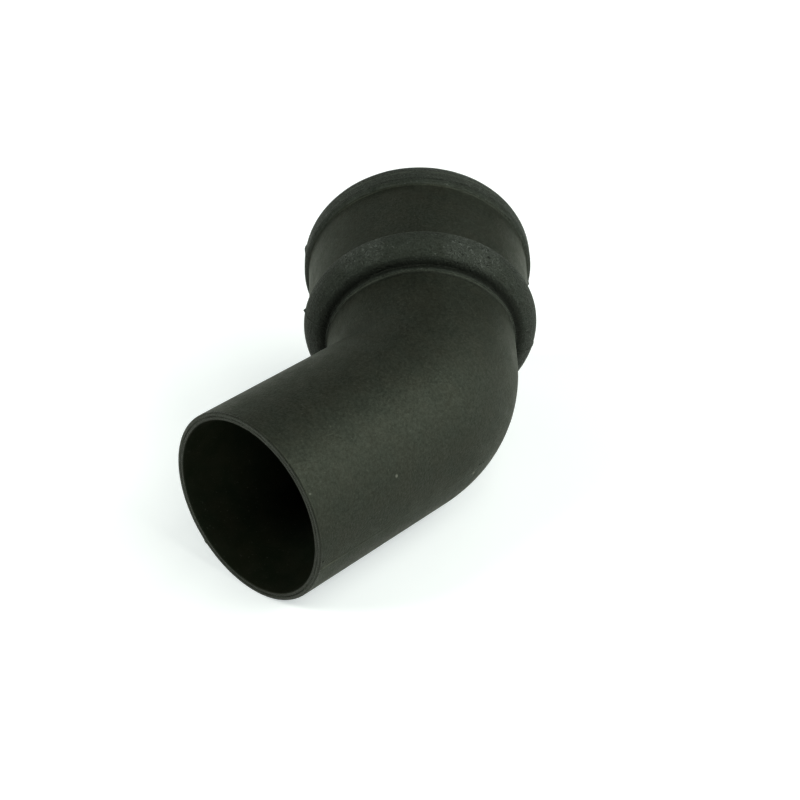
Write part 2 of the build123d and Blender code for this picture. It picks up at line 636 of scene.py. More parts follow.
@dataclass(frozen=True)
class OffsetBend:
    """The whole moulding: its mesh, and the finishes of its areas.

    Attributes:
        profile: The section of its wall.
        flash: The line of the parting plane.
        skin: The unevenness of the bands.
        nibs: The tags of flash.
        name: Name of the piece.
        node: The solid that it stands for.
        columns: Even columns of the mesh round the pipe.
        parting_gaps: Distances in degrees of the extra columns on each side of the parting line.
    """

    profile: Profile
    flash: Flash
    skin: CastSkin
    nibs: tuple[Nib, ...]
    name: str = "moulded_bend"
    node: str = "offset_bend"
    columns: int = 300
    parting_gaps: tuple[float, ...] = (0.24, 0.48, 0.78)

    def angles(self) -> np.ndarray:
        """Lays out the columns round the pipe, closer together at the parting line.

        Returns:
            Their angles in degrees, 0 on the outer side and 90 on the upper side.
        """
        even = np.arange(self.columns) * 360 / self.columns
        close = [middle + side * gap for middle in (0, 180) for side in (-1, 1) for gap in self.parting_gaps]
        return np.sort(np.concatenate((even, close)) % 360)

    def parting_height(self, angles: np.ndarray, radius: float) -> np.ndarray:
        """Gives the share of the flash's height at each column of a ring."""
        away = np.abs((angles + 90) % 180 - 90)
        return np.clip(1 - np.radians(away) * radius / self.flash.half_width, 0, 1)

    def nib_height(self, place: float, angles: np.ndarray, radius: float) -> np.ndarray:
        """Gives how far the nibs raise each column of a ring.

        Args:
            place: Distance from the start of the turn.
            angles: The angles of the columns.
            radius: Radius of the ring.

        Returns:
            The heights, one a column.
        """
        raised = np.zeros(len(angles))
        for nib in self.nibs:
            around = np.radians((angles - nib.angle + 180) % 360 - 180) * radius / nib.around
            distance = ((place - nib.place) / nib.along) ** 2 + around**2
            raised += nib.height * np.exp(-distance)
        return raised

    def ring(self, place: float, radius: float, facing: Point, area: Area, outside: bool) -> np.ndarray:
        """Lays one ring of the mesh.

        Args:
            place: Distance from the start of the turn.
            radius: Radius of the section there.
            facing: The surface's outward direction, along the pipe and away from its centreline.
            area: The area of the moulding there.
            outside: Whether the ring is on the outside of the wall.

        Returns:
            Its corners in millimetres, one a row.
        """
        station = self.profile.line.station(place)
        angles = self.angles()
        swing = np.radians(angles)[:, None]
        away = np.cos(swing) * np.array(station.outer) + np.sin(swing) * np.array(station.upper)
        corners = np.array(station.centre) + away * radius
        if not outside:
            return corners
        raised = self.flash.height(place, area) * self.parting_height(angles, radius)
        raised += self.nib_height(place, angles, radius)
        if area is Area.BAND:
            raised += np.array([self.skin.offset(Vector(corner)) for corner in corners])
        out = away * facing[1] + np.array(station.along) * facing[0]
        return corners + out * raised[:, None]

    def mesh(self) -> bpy.types.Mesh:
        """Lays the rings and joins them into one closed skin.

        Returns:
            The mesh, in metres in the part's frame.
        """
        points, areas = self.profile.outline().points()
        ahead, behind = np.roll(points, -1, axis=0), np.roll(points, 1, axis=0)
        tangents = (ahead - behind) / np.linalg.norm(ahead - behind, axis=1, keepdims=True)
        mouth = self.profile.line.place(self.profile.mouth_at)
        turned = int(np.argmax(points[:, 0] >= mouth - TINY))
        rings = [
            self.ring(place, radius, (-way[1], way[0]), area, index <= turned)
            for index, ((place, radius), way, area) in enumerate(zip(points, tangents, areas))
        ]
        around = len(rings[0])
        corners = np.clip(np.vstack(rings) * MM, CAD_BOX[0], CAD_BOX[1])
        index = np.arange(len(rings) * around).reshape(len(rings), around)
        ahead, beside = np.roll(index, -1, axis=0), np.roll(index, -1, axis=1)
        faces = np.stack((index, ahead, np.roll(ahead, -1, axis=1), beside), axis=-1).reshape(-1, 4)
        mesh = bpy.data.meshes.new(self.name)
        mesh.from_pydata(corners.tolist(), [], faces.tolist())
        mesh.polygons.foreach_set("use_smooth", np.ones(len(faces), dtype=bool))
        slots = np.repeat([area.value for area in areas], around)
        mesh.polygons.foreach_set("material_index", slots.astype(np.int32))
        mesh.update()
        return mesh

    def build(self, finishes: dict[Area, bpy.types.Material]) -> bpy.types.Object:
        """Makes the piece, dresses it and puts it in place of the plain solid.

        Args:
            finishes: The material of each area.

        Returns:
            The finished piece.
        """
        mesh = self.mesh()
        for area in Area:
            mesh.materials.append(finishes[area])
        piece = bpy.data.objects.new(self.name, mesh)
        bpy.context.scene.collection.objects.link(piece)
        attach(piece, "root")
        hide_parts(self.node)
        return piece


@dataclass(frozen=True)
class Noise:
    """A noise texture, and the part of its values that is stretched from 0 to 1.

    Attributes:
        scale: How many of its features there are to a millimetre.
        detail: How many finer layers it has.
        rough: How strong the finer layers are.
        shown: The values that become 0 and 1.
        apart: How far its place is moved, so that it differs from another noise.
    """

    scale: float
    detail: float = 2.0
    rough: float = 0.5
    shown: Point = (0.0, 1.0)
    apart: Triple | None = None


class Wiring:
    """Adds nodes to one tree and joins them."""

    def __init__(self, tree: bpy.types.NodeTree) -> None:
        """Takes the tree to work in."""
        self.tree = tree

    def feed(self, socket: Socket, value: Feed) -> None:
        """Joins an output to a socket, or sets the socket's own value.

        Args:
            socket: The socket to feed.
            value: What goes into it.
        """
        if isinstance(value, Socket):
            self.tree.links.new(value, socket)
        else:
            socket.default_value = value

    def add(self, kind: str, feeds: dict[str | int, Feed] | None = None, **settings: Any) -> bpy.types.Node:
        """Adds a node.

        Args:
            kind: Its type.
            feeds: What goes into each of its sockets.
            settings: Its options.

        Returns:
            The new node.
        """
        node = self.tree.nodes.new(kind)
        for name, value in settings.items():
            setattr(node, name, value)
        for name, value in (feeds or {}).items():
            self.feed(node.inputs[name], value)
        return node

    def grouped(self, tree: bpy.types.NodeTree, feeds: dict[str, Feed]) -> bpy.types.Node:
        """Places a node group and feeds its inputs."""
        return self.add("ShaderNodeGroup", feeds, node_tree=tree)

    def maths(self, operation: str, *values: Feed, clamp: bool = False) -> Socket:
        """Adds one step of arithmetic and gives its result."""
        node = self.add("ShaderNodeMath", dict(enumerate(values)), operation=operation, use_clamp=clamp)
        return node.outputs[0]

    def vector(self, operation: str, *values: Feed) -> Socket:
        """Adds one step of vector arithmetic and gives its vector."""
        node = self.add("ShaderNodeVectorMath", dict(enumerate(values)), operation=operation)
        return node.outputs["Vector"]

    def measure(self, operation: str, *values: Feed) -> Socket:
        """Adds one step of vector arithmetic and gives its number."""
        node = self.add("ShaderNodeVectorMath", dict(enumerate(values)), operation=operation)
        return node.outputs["Value"]

    def joined(self, x: Feed, y: Feed) -> Socket:
        """Makes a flat vector of two numbers."""
        return self.add("ShaderNodeCombineXYZ", {"X": x, "Y": y}).outputs["Vector"]

    def grade(self, value: Feed, source: Point, target: Point = (0.0, 1.0)) -> Socket:
        """Maps one range of values onto another and clamps it.

        Args:
            value: What to map.
            source: The first and last value of its range.
            target: What those two become.

        Returns:
            The mapped value.
        """
        feeds = {"Value": value, "From Min": source[0], "From Max": source[1]}
        feeds |= {"To Min": target[0], "To Max": target[1]}
        return self.add("ShaderNodeMapRange", feeds).outputs["Result"]

    def clouds(self, place: Feed, layer: Noise, scale: Feed | None = None) -> Socket:
        """Adds a noise texture.

        Args:
            place: Where it is read.
            layer: The noise.
            scale: Its scale, where that isn't the noise's own.

        Returns:
            Its bare value.
        """
        if layer.apart:
            place = self.vector("ADD", place, layer.apart)
        feeds = {"Vector": place, "Scale": layer.scale if scale is None else scale}
        feeds |= {"Detail": layer.detail, "Roughness": layer.rough}
        return self.add("ShaderNodeTexNoise", feeds).outputs[0]

    def mottle(self, place: Feed, layer: Noise, target: Point = (0.0, 1.0)) -> Socket:
        """Adds a noise texture and stretches the part of its values that it shows."""
        return self.grade(self.clouds(place, layer), layer.shown, target)

    def blend(self, share: Feed, first: Feed, second: Feed) -> Socket:
        """Mixes two colours.

        Args:
            share: How much of the second colour goes in.
            first: The first colour.
            second: The second colour.

        Returns:
            The mixed colour.
        """
        node = self.tree.nodes.new("ShaderNodeMix")
        node.data_type = "RGBA"
        colours = [socket for socket in node.inputs if socket.type == "RGBA"]
        for socket, value in zip((node.inputs[0], *colours), (share, first, second)):
            self.feed(socket, value)
        return next(socket for socket in node.outputs if socket.type == "RGBA")


Recipe = Callable[[Wiring, bpy.types.Node], tuple[Socket, ...]]


@dataclass
class Effects:
    """Node groups that the finishes share, each built once.

    Attributes:
        line: The bend's centreline.
        pebbles: The fine pebbles of the moulded skin.
        patches: The slow patches.
        flecks: The rare pale flecks.
        chips: The pale chips of a chafed area.
        pits: Its dark pits.
        scores: Its slanting scores.
        score_spacing: Scores to a millimetre, across them and along them.
        made: The groups made so far, by name.
    """

    line: Centreline
    pebbles: Noise = Noise(1.5, 2.0, 0.55, (0.34, 0.66))
    patches: Noise = Noise(0.16, 3.0, 0.6, (0.34, 0.66))
    flecks: Noise = Noise(1.35, 1.0, 0.5, (0.68, 0.76))
    chips: Noise = Noise(0.95, 2.0, 0.6, (0.53, 0.64))
    pits: Noise = Noise(0.8, 2.0, 0.6, (0.6, 0.7), (40.0, 15.0, 65.0))
    scores: Noise = Noise(1.0, 1.0, 0.4, (0.62, 0.72))
    score_spacing: Point = (1.3, 0.2)
    made: dict[str, bpy.types.NodeTree] = field(default_factory=dict)

    def group(
        self, name: str, inputs: dict[str, Kind], outputs: tuple[str, ...], draw: Recipe
    ) -> bpy.types.NodeTree:
        """Makes a node group, or finds it if it is there.

        Args:
            name: Its name.
            inputs: The name and kind of each input.
            outputs: The name of each output.
            draw: Lays its nodes, given the wiring and the group's input node, and gives the outputs.

        Returns:
            The group.
        """
        if name in self.made:
            return self.made[name]
        tree = bpy.data.node_groups.new(name, "ShaderNodeTree")
        for title, kind in inputs.items():
            tree.interface.new_socket(name=title, in_out="INPUT", socket_type=kind.value)
        for title in outputs:
            tree.interface.new_socket(name=title, in_out="OUTPUT", socket_type=Kind.NUMBER.value)
        wiring = Wiring(tree)
        source, sink = wiring.add("NodeGroupInput"), wiring.add("NodeGroupOutput")
        for socket, result in zip(sink.inputs, draw(wiring, source)):
            wiring.feed(socket, result)
        self.made[name] = tree
        return tree

    def from_knee(self, wiring: Wiring, source: bpy.types.Node) -> Socket:
        """Gives the way from the knee to the point that a group is asked about."""
        return wiring.vector("SUBTRACT", source.outputs["Place"], tuple(self.line.knee))

    def grain(self) -> bpy.types.NodeTree:
        """Moulded grain: fine pebbles, how much each stands out, slow patches and rare flecks.

        Returns:
            The group.
        """

        def draw(wiring: Wiring, source: bpy.types.Node) -> tuple[Socket, ...]:
            """Lays the grain's nodes.

            Args:
                wiring: The group's wiring.
                source: The group's input node.

            Returns:
                What the group puts out.
            """
            place = source.outputs["Place"]
            pebble = wiring.clouds(place, self.pebbles, source.outputs["Pebble"])
            patch = wiring.clouds(place, self.patches, source.outputs["Patch"])
            fleck = wiring.clouds(place, self.flecks, source.outputs["Fleck"])
            return (
                pebble,
                wiring.grade(pebble, self.pebbles.shown),
                wiring.grade(patch, self.patches.shown),
                wiring.grade(fleck, self.flecks.shown),
            )

        inputs = {"Place": Kind.VECTOR, "Pebble": Kind.NUMBER, "Patch": Kind.NUMBER, "Fleck": Kind.NUMBER}
        return self.group("moulded grain", inputs, ("Pebble", "Speck", "Patch", "Fleck"), draw)

    def lie(self) -> bpy.types.NodeTree:
        """Where a point lies on the socket: how far round it and how far along it, in millimetres.

        Returns:
            The group.
        """

        def draw(wiring: Wiring, source: bpy.types.Node) -> tuple[Socket, ...]:
            """Lays the nodes that measure along the socket.

            Args:
                wiring: The group's wiring.
                source: The group's input node.

            Returns:
                What the group puts out.
            """
            line = self.line
            along, outer = line.heading(radians(line.turn))
            way = self.from_knee(wiring, source)
            side = wiring.measure("DOT_PRODUCT", way, tuple(outer))
            up = wiring.measure("DOT_PRODUCT", way, tuple(line.upper))
            around = wiring.maths("MULTIPLY", wiring.maths("ARCTAN2", up, side), line.rear_crown_radius)
            return around, wiring.measure("DOT_PRODUCT", way, tuple(along))

        return self.group("lie on socket", {"Place": Kind.VECTOR}, ("Around", "Along"), draw)

    def lie_on_rim(self) -> bpy.types.NodeTree:
        """Where a point lies on the spigot's rim: how far round it and how far from its centre.

        Returns:
            The group.
        """

        def draw(wiring: Wiring, source: bpy.types.Node) -> tuple[Socket, ...]:
            """Lays the nodes that measure across the rim.

            Args:
                wiring: The group's wiring.
                source: The group's input node.

            Returns:
                What the group puts out.
            """
            line = self.line
            way = self.from_knee(wiring, source)
            side = wiring.measure("DOT_PRODUCT", way, tuple(line.heading(0.0)[1]))
            up = wiring.measure("DOT_PRODUCT", way, tuple(line.upper))
            squares = wiring.maths("ADD", wiring.maths("POWER", side, 2.0), wiring.maths("POWER", up, 2.0))
            around = wiring.maths("MULTIPLY", wiring.maths("ARCTAN2", up, side), line.spigot_radius)
            return around, wiring.maths("SQRT", squares)

        return self.group("lie on rim", {"Place": Kind.VECTOR}, ("Around", "Along"), draw)

    def hoop(self) -> bpy.types.NodeTree:
        """A fine line at one reach or radius, full inside and fading over its edge.

        Returns:
            The group.
        """

        def draw(wiring: Wiring, source: bpy.types.Node) -> tuple[Socket, ...]:
            """Lays the line's nodes.

            Args:
                wiring: The group's wiring.
                source: The group's input node.

            Returns:
                What the group puts out.
            """
            away = wiring.maths("SUBTRACT", source.outputs["Along"], source.outputs["Reach"])
            inside = wiring.maths("SUBTRACT", source.outputs["Half width"], wiring.maths("ABSOLUTE", away))
            return (wiring.maths("DIVIDE", inside, source.outputs["Edge"], clamp=True),)

        inputs = {name: Kind.NUMBER for name in ("Along", "Reach", "Half width", "Edge")}
        return self.group("hoop", inputs, ("Mask",), draw)

    def spot(self) -> bpy.types.NodeTree:
        """A small soft-edged blemish at one point.

        Returns:
            The group.
        """

        def draw(wiring: Wiring, source: bpy.types.Node) -> tuple[Socket, ...]:
            """Lays the blemish's nodes.

            Args:
                wiring: The group's wiring.
                source: The group's input node.

            Returns:
                What the group puts out.
            """
            away = wiring.measure("DISTANCE", source.outputs["Place"], source.outputs["Centre"])
            share = wiring.maths("DIVIDE", away, source.outputs["Radius"])
            return (wiring.maths("SUBTRACT", 1.0, wiring.maths("POWER", share, 2.0), clamp=True),)

        inputs = {"Place": Kind.VECTOR, "Centre": Kind.VECTOR, "Radius": Kind.NUMBER}
        return self.group("blemish", inputs, ("Mask",), draw)

    def chafing(self) -> bpy.types.NodeTree:
        """What a chafed area shows: pale chips, dark pits and slanting scores.

        Returns:
            The group.
        """

        def draw(wiring: Wiring, source: bpy.types.Node) -> tuple[Socket, ...]:
            """Lays the nodes of the three kinds of mark.

            Args:
                wiring: The group's wiring.
                source: The group's input node.

            Returns:
                What the group puts out.
            """
            place, around, along = (source.outputs[name] for name in ("Place", "Around", "Along"))
            spacing, length = self.score_spacing
            across = wiring.maths("MULTIPLY", wiring.maths("ADD", around, along), spacing)
            drawn_out = wiring.maths("MULTIPLY", wiring.maths("SUBTRACT", around, along), length)
            slanting = wiring.mottle(wiring.joined(across, drawn_out), self.scores)
            return wiring.mottle(place, self.chips), wiring.mottle(place, self.pits), slanting

        inputs = {"Place": Kind.VECTOR, "Around": Kind.NUMBER, "Along": Kind.NUMBER}
        return self.group("chafing", inputs, ("Chips", "Pits", "Scores"), draw)

    def parting(self) -> bpy.types.NodeTree:
        """The line where the plane of the bend cuts the surface.

        Returns:
            The group.
        """

        def draw(wiring: Wiring, source: bpy.types.Node) -> tuple[Socket, ...]:
            """Lays the line's nodes.

            Args:
                wiring: The group's wiring.
                source: The group's input node.

            Returns:
                What the group puts out.
            """
            up = wiring.measure("DOT_PRODUCT", self.from_knee(wiring, source), tuple(self.line.upper))
            share = wiring.maths("DIVIDE", wiring.maths("ABSOLUTE", up), source.outputs["Half width"])
            return (wiring.maths("SUBTRACT", 1.0, share, clamp=True),)

        inputs = {"Place": Kind.VECTOR, "Half width": Kind.NUMBER}
        return self.group("parting line", inputs, ("Mask",), draw)


@dataclass(frozen=True)
class Blemish:
    """A small pale or dark mark in the plastic, at a point in millimetres.

    Attributes:
        centre: Its middle.
        radius: How far it reaches.
        colour: What it turns the plastic to.
        strength: The most of that colour that it takes.
        dent: How deep it goes, as a share of the pebbles' height.
        dull: How much of the light it swallows.
    """

    centre: Vector
    radius: float
    colour: Colour
    strength: float = 1.0
    dent: float = 0.0
    dull: float = 0.0


@dataclass(frozen=True)
class Scuff:
    """A chafed area of a band, in millimetres.

    Attributes:
        centre: Its middle.
        radius: How far it reaches.
    """

    centre: Vector
    radius: float


@dataclass(frozen=True)
class Hoop:
    """A line round a band or round the rim, in millimetres. Such lines paint highlights along edges, paint
    shade in the crease and on the rim's bevel, and darken grooves.

    Attributes:
        reach: Its reach from the knee along the socket, or its radius on the rim.
        half_width: Half its width.
        colour: What it turns the plastic to.
        strength: The most of that colour that it takes.
        edge: How far in from each side it fades.
        broken: How faint it gets where it is broken up.
        groove: How deep it is cut, as a share of the pebbles' height.
        dull: How much of the light it swallows.
    """

    reach: float
    half_width: float
    colour: Colour
    strength: float
    edge: float = 0.3
    broken: float = 0.25
    groove: float = 0.0
    dull: float = 0.0


@dataclass
class Surface:
    """The maps of one finish while marks are added to them.

    Attributes:
        wiring: The material's wiring.
        place: The point on the object, in millimetres.
        around: How far round the socket or the rim it lies.
        along: How far along the socket it lies, or how far from the rim's centre.
        colour: The colour there.
        rough: The roughness there.
        height: The height of the pebbles and marks there.
        dull: How much of the light is swallowed there.
    """

    wiring: Wiring
    place: Socket
    around: Socket
    along: Socket
    colour: Socket
    rough: Socket
    height: Socket
    dull: Feed = 0.0

    def paint(self, share: Feed, colour: Colour) -> None:
        """Turns the plastic to a colour by a share."""
        self.colour = self.wiring.blend(share, self.colour, (*colour, 1.0))

    def swallow(self, share: Feed, most: float) -> None:
        """Takes away some of the light where a mask is.

        Args:
            share: The mask.
            most: How much of the light goes where the mask is full.
        """
        if most:
            taken = self.wiring.maths("MULTIPLY", share, most)
            self.dull = self.wiring.maths("MAXIMUM", self.dull, taken)

    def cut(self, share: Feed, depth: float) -> None:
        """Cuts the surface down where a mask is.

        Args:
            share: The mask.
            depth: How deep the cut is where the mask is full.
        """
        if depth:
            fall = self.wiring.maths("MULTIPLY", share, depth)
            self.height = self.wiring.maths("SUBTRACT", self.height, fall)


@dataclass(frozen=True)
class Plastic:
    """Charcoal plastic as one area of the mould leaves it.

    Attributes:
        name: Name of the material.
        deep: Colour of the darker patches.
        pale: Colour of the lighter patches.
        dust: Colour of the flecks and of the parting line.
        warm: Colour of the slow warm cast.
        cast: How strong that cast gets.
        casts: The patches that it comes in.
        roughness: Its roughness in the hollows and on the tops of the pebbles.
        blotch: How much the roughness changes from patch to patch.
        specular: How strongly it reflects.
        tint: Colour of its reflections.
        pebble: Pebbles to a millimetre.
        pebble_share: How much of the change in colour is the pebbles', and not the patches'.
        patch: Patches to a millimetre.
        relief: Height of the pebbles, in metres.
        flecks: How much the flecks show.
        fleck_size: Flecks to a millimetre, for each pebble to a millimetre.
        streaks: How much the drawn-out casting marks show.
        streak_spacing: Casting marks to a millimetre, round the band and across it.
        streaking: Their noise.
        hollow_dull: How much of the light the hollows between the pebbles swallow.
        hollows: Where those hollows are.
        parting: How much the parting line shows near the spigot's end.
        parting_half_width: Half that line's width, in millimetres.
        parting_ends: Where along Y it starts to fade and where it is faint.
        parting_faint: Share of it that is left there.
        on_rim: Whether its lines and streaks run round the spigot's rim instead of the socket.
        hoops: Lines round the socket, or round the rim.
        breaks: Where the hoops are whole and where they are broken up.
        blemishes: Single marks.
        scuffs: Chafed areas.
        scuff_marks: How much their chips and scores show.
        scuff_haze: How pale they are between those marks.
        scuff_relief: How far the marks stand out, as a share of the pebbles' height.
    """

    name: str
    deep: Colour
    pale: Colour
    dust: Colour = (0.075, 0.08, 0.068)
    warm: Colour = (0.0155, 0.013, 0.0085)
    cast: float = 0.3
    casts: Noise = Noise(0.12, 3.0, 0.6, (0.35, 0.65))
    roughness: Point = (0.56, 0.48)
    blotch: float = 0.1
    specular: float = 0.25
    tint: Colour = (0.9, 1.0, 0.81)
    pebble: float = 1.5
    pebble_share: float = 0.65
    patch: float = 0.16
    relief: float = 0.00016
    flecks: float = 0.25
    fleck_size: float = 0.9
    streaks: float = 0.0
    streak_spacing: Point = (0.22, 1.5)
    streaking: Noise = Noise(1.0, 4.0, 0.7, (0.36, 0.68))
    hollow_dull: float = 0.0
    hollows: Noise = Noise(0.9, 3.0, 0.7, (0.36, 0.64), (12.0, 53.0, 27.0))
    parting: float = 0.0
    parting_half_width: float = 0.5
    parting_ends: Point = (-83.0, -73.0)
    parting_faint: float = 0.1
    on_rim: bool = False
    hoops: tuple[Hoop, ...] = ()
    breaks: Noise = Noise(0.12, 2.0, 0.5, (0.35, 0.6))
    blemishes: tuple[Blemish, ...] = ()
    scuffs: tuple[Scuff, ...] = ()
    scuff_marks: float = 0.6
    scuff_haze: float = 0.16
    scuff_relief: float = 1.4

    def skin(self, wiring: Wiring, effects: Effects) -> Surface:
        """Draws the bare plastic: its pebbles, patches, flecks and streaks.

        Args:
            wiring: The material's wiring.
            effects: The shared node groups.

        Returns:
            The surface, with no marks yet.
        """
        source = wiring.add("ShaderNodeTexCoord").outputs["Object"]
        scaled = wiring.add("ShaderNodeVectorMath", {0: source, "Scale": 1 / MM}, operation="SCALE")
        place = scaled.outputs["Vector"]
        sizes = {"Pebble": self.pebble, "Patch": self.patch, "Fleck": self.pebble * self.fleck_size}
        grain = wiring.grouped(effects.grain(), {"Place": place} | sizes)
        height, speck, patch, fleck = (grain.outputs[name] for name in ("Pebble", "Speck", "Patch", "Fleck"))
        lie = wiring.grouped(effects.lie_on_rim() if self.on_rim else effects.lie(), {"Place": place})
        around, along = lie.outputs["Around"], lie.outputs["Along"]
        fine = wiring.maths("MULTIPLY", speck, self.pebble_share)
        tone = wiring.maths("ADD", fine, wiring.maths("MULTIPLY", patch, 1 - self.pebble_share))
        if self.streaks:
            spacing = zip((around, along), self.streak_spacing)
            lay = wiring.joined(*(wiring.maths("MULTIPLY", way, closeness) for way, closeness in spacing))
            streak = wiring.maths("MULTIPLY", wiring.mottle(lay, self.streaking), self.streaks)
            tone = wiring.maths("DIVIDE", wiring.maths("ADD", tone, streak), 1 + self.streaks, clamp=True)
            height = wiring.maths("ADD", height, streak)
        colour = wiring.blend(tone, (*self.deep, 1.0), (*self.pale, 1.0))
        rough = wiring.grade(speck, (0.0, 1.0), self.roughness)
        uneven = wiring.maths("MULTIPLY", wiring.maths("SUBTRACT", patch, 0.5), self.blotch)
        surface = Surface(wiring, place, around, along, colour, wiring.maths("ADD", rough, uneven), height)
        surface.paint(wiring.mottle(place, self.casts, (0.0, self.cast)), self.warm)
        surface.paint(wiring.maths("MULTIPLY", fleck, self.flecks), self.dust)
        if self.hollow_dull:
            surface.dull = wiring.mottle(place, self.hollows, (self.hollow_dull, 0.0))
        return surface

    def chafe(self, surface: Surface, effects: Effects) -> None:
        """Adds the marks of the chafed areas.

        Args:
            surface: The surface to mark.
            effects: The shared node groups.
        """
        wiring, place = surface.wiring, surface.place
        near: Feed = 0.0
        for scuff in self.scuffs:
            sizes = {"Place": place, "Centre": tuple(scuff.centre), "Radius": scuff.radius}
            near = wiring.maths("MAXIMUM", near, wiring.grouped(effects.spot(), sizes).outputs["Mask"])
        lie = {"Place": place, "Around": surface.around, "Along": surface.along}
        marks = wiring.grouped(effects.chafing(), lie)
        # The mask of real wear marks: the chips and scores of the chafed areas.
        wear_and_highlight = wiring.maths("MAXIMUM", marks.outputs["Chips"], marks.outputs["Scores"])
        pits = marks.outputs["Pits"]
        pale = wiring.maths("MULTIPLY", wiring.maths("MULTIPLY", wear_and_highlight, near), self.scuff_marks)
        surface.paint(wiring.maths("ADD", pale, wiring.maths("MULTIPLY", near, self.scuff_haze)), self.dust)
        surface.paint(wiring.maths("MULTIPLY", pits, near), self.deep)
        raised = wiring.maths("MULTIPLY", wiring.maths("SUBTRACT", wear_and_highlight, pits), near)
        raised = wiring.maths("MULTIPLY", raised, self.scuff_relief)
        surface.height = wiring.maths("ADD", surface.height, raised)

    def ring_round(self, surface: Surface, effects: Effects) -> None:
        """Adds the lines round the socket or the rim: painted highlights, painted shade and dark grooves.

        Args:
            surface: The surface to mark.
            effects: The shared node groups.
        """
        wiring = surface.wiring
        for hoop in self.hoops:
            sizes = {"Reach": hoop.reach, "Half width": hoop.half_width, "Edge": hoop.edge}
            mask = wiring.grouped(effects.hoop(), {"Along": surface.along} | sizes).outputs["Mask"]
            whole = wiring.mottle(surface.place, self.breaks, (hoop.broken, 1.0))
            share = wiring.maths("MULTIPLY", wiring.maths("MULTIPLY", mask, whole), hoop.strength)
            surface.paint(share, hoop.colour)
            surface.swallow(share, hoop.dull)
            surface.cut(share, hoop.groove)

    def part(self, surface: Surface, effects: Effects) -> None:
        """Adds the pale line of the parting plane, which fades away from the spigot's end.

        Args:
            surface: The surface to mark.
            effects: The shared node groups.
        """
        wiring, place = surface.wiring, surface.place
        sizes = {"Place": place, "Half width": self.parting_half_width}
        mask = wiring.grouped(effects.parting(), sizes).outputs["Mask"]
        across = wiring.add("ShaderNodeSeparateXYZ", {0: place}).outputs["Y"]
        near = wiring.grade(across, self.parting_ends, (1.0, self.parting_faint))
        share = wiring.maths("MULTIPLY", wiring.maths("MULTIPLY", mask, near), self.parting)
        surface.paint(share, self.dust)

    def blemish(self, surface: Surface, effects: Effects) -> None:
        """Adds the single marks.

        Args:
            surface: The surface to mark.
            effects: The shared node groups.
        """
        wiring = surface.wiring
        for mark in self.blemishes:
            sizes = {"Place": surface.place, "Centre": tuple(mark.centre), "Radius": mark.radius}
            mask = wiring.grouped(effects.spot(), sizes).outputs["Mask"]
            surface.paint(wiring.maths("MULTIPLY", mask, mark.strength), mark.colour)
            surface.swallow(mask, mark.dull)
            surface.cut(mask, mark.dent)

    def material(self, effects: Effects) -> bpy.types.Material:
        """Builds the material.

        Args:
            effects: The shared node groups.

        Returns:
            The material.
        """
        material = bpy.data.materials.new(self.name)
        material.use_nodes = True
        wiring = Wiring(material.node_tree)
        shader = material.node_tree.nodes["Principled BSDF"]
        surface = self.skin(wiring, effects)
        if self.scuffs:
            self.chafe(surface, effects)
        self.ring_round(surface, effects)
        if self.parting:
            self.part(surface, effects)
        self.blemish(surface, effects)
        wiring.feed(shader.inputs["Base Color"], surface.colour)
        wiring.feed(shader.inputs["Roughness"], wiring.maths("MAXIMUM", surface.rough, surface.dull))
        wiring.feed(shader.inputs["Metallic"], surface.dull)
        shader.inputs["Specular IOR Level"].default_value = self.specular
        shader.inputs["Specular Tint"].default_value = (*self.tint, 1.0)
        feeds = {"Height": surface.height, "Distance": self.relief, "Strength": 1.0}
        wiring.feed(shader.inputs["Normal"], wiring.add("ShaderNodeBump", feeds).outputs["Normal"])
        return material


@dataclass(frozen=True)
class Softbox:
    """A round soft lamp aimed at the bend.

    Attributes:
        name: Its name.
        bearing: Where it stands, in degrees from +X towards +Y.
        height: How high it stands, in degrees above the ground.
        watts: Its power.
        size: Its diameter in metres.
        colour: The colour of its light.
    """

    name: str
    bearing: float
    height: float
    watts: float
    size: float = 0.62
    colour: Colour = (0.95, 1.0, 0.92)

    def place(self, aim: Vector, distance: float) -> bpy.types.Object:
        """Puts the lamp in the scene.

        Args:
            aim: The point that it faces.
            distance: How far from that point it stands.

        Returns:
            The lamp.
        """
        bearing, height = radians(self.bearing), radians(self.height)
        way = Vector((cos(bearing) * cos(height), sin(bearing) * cos(height), sin(height)))
        light = bpy.data.lights.new(self.name, "AREA")
        light.shape = "DISK"
        light.size = self.size
        light.energy = self.watts
        light.color = self.colour
        lamp = bpy.data.objects.new(self.name, light)
        lamp.location = aim + way * distance
        lamp.rotation_euler = (-way).to_track_quat("-Z", "Y").to_euler()
        bpy.context.scene.collection.objects.link(lamp)
        return lamp


